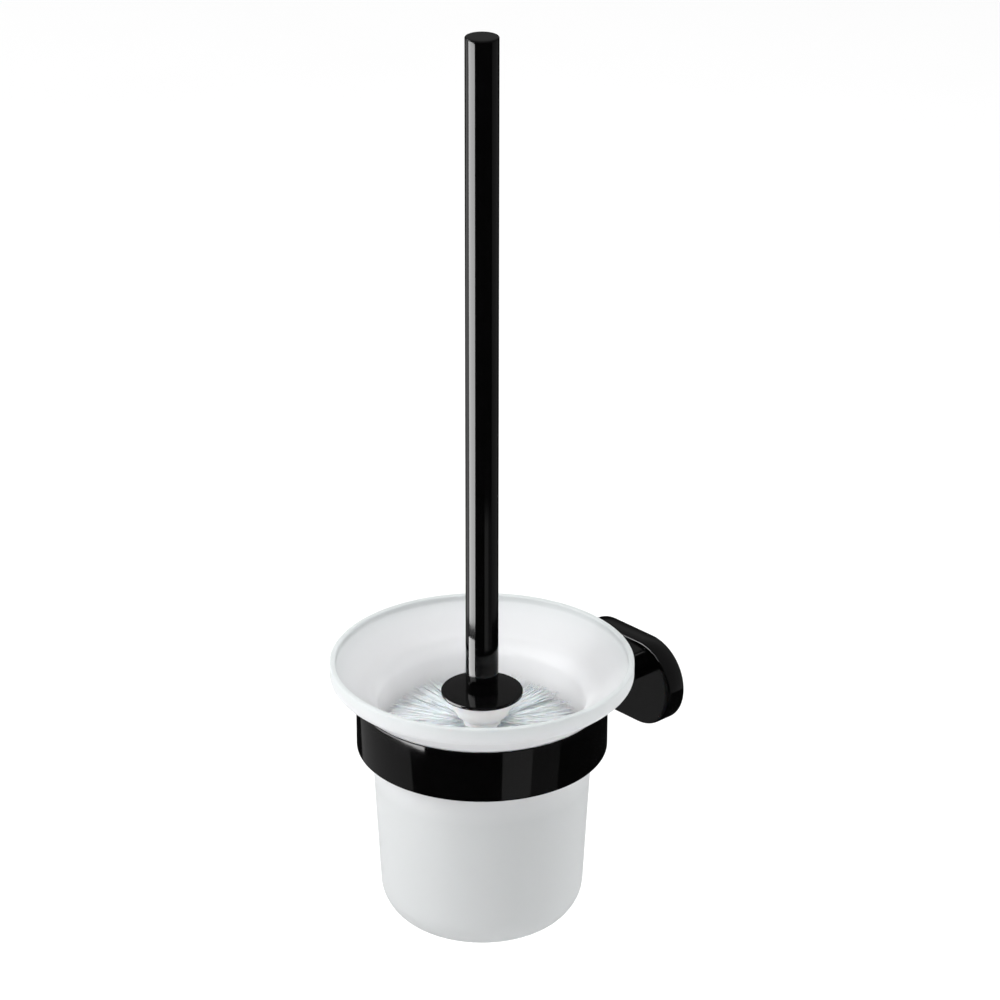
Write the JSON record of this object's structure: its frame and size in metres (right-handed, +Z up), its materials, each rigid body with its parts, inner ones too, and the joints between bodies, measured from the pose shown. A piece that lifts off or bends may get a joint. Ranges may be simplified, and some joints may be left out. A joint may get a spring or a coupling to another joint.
{
  "type": "toilet brush holder",
  "caption": "Wall-hung toilet brush holder: frosted glass cup in a black ring on a short arm, with a lift-out brush on a long straight black handle.",
  "frame": {"origin": "on the wall, at the centre of the wall plate's back face", "axes": "+Z up along the handle, +Y into the wall, +X to the right when facing the wall"},
  "size_m": [0.1304, 0.1574, 0.3984],
  "materials": {
    "black_gloss": "black gloss lacquer",
    "zinc_steel": "bright zinc",
    "brass": "turned",
    "frosted_glass": "satin etched, translucent white with a faint green edge",
    "white_plastic": "moulded, fine satin",
    "nylon_bristle": "translucent white nylon",
    "clear_polymer": "milky translucent, satin"
  },
  "bodies": {
    "bracket": {"wall_plate": "zinc_steel", "rosette_cover": "black_gloss", "set_screw": "zinc_steel", "arm": "black_gloss", "arm_screw": "zinc_steel", "arm_washer": "zinc_steel", "holder_ring": "black_gloss", "ring_screw": "zinc_steel", "ring_liner": "clear_polymer"},
    "cup": {"glass_cup": "frosted_glass"},
    "brush_head": {"brush_core": "white_plastic", "thread_bush": "brass", "bristle_row_1": "nylon_bristle", "bristle_row_2": "nylon_bristle", "bristle_row_3": "nylon_bristle", "bristle_row_4": "nylon_bristle", "bristle_row_5": "nylon_bristle", "bristle_row_6": "nylon_bristle", "bristle_row_7": "nylon_bristle", "bristle_tip": "nylon_bristle"},
    "stud": {"joining_stud": "zinc_steel"},
    "handle": {"handle_tube": "black_gloss", "tube_insert": "brass", "lid_disc": "black_gloss", "spring_washer": "zinc_steel", "lock_nut": "zinc_steel"}
  },
  "joints": [
    {"name": "cup_lift", "type": "slide", "parent": "bracket", "child": "cup", "axis": [0, 0, 1], "range_m": [0, 0.115]},
    {"name": "brush_lift", "type": "slide", "parent": "cup", "child": "brush_head", "axis": [0, 0, 1], "range_m": [0, 0.125]},
    {"name": "thread_travel", "type": "slide", "parent": "brush_head", "child": "stud", "axis": [0, 0, 1], "range_m": [0, 0.006]},
    {"name": "handle_unscrew", "type": "hinge", "parent": "stud", "child": "handle", "pos_m": [0, -0.0922, 0], "axis": [0, 0, 1], "range_deg": [0, 2165]}
  ],
  "couplings": [
    {"joint": "handle_unscrew", "follows": "thread_travel", "rad_per_m": 6283.2}
  ]
}
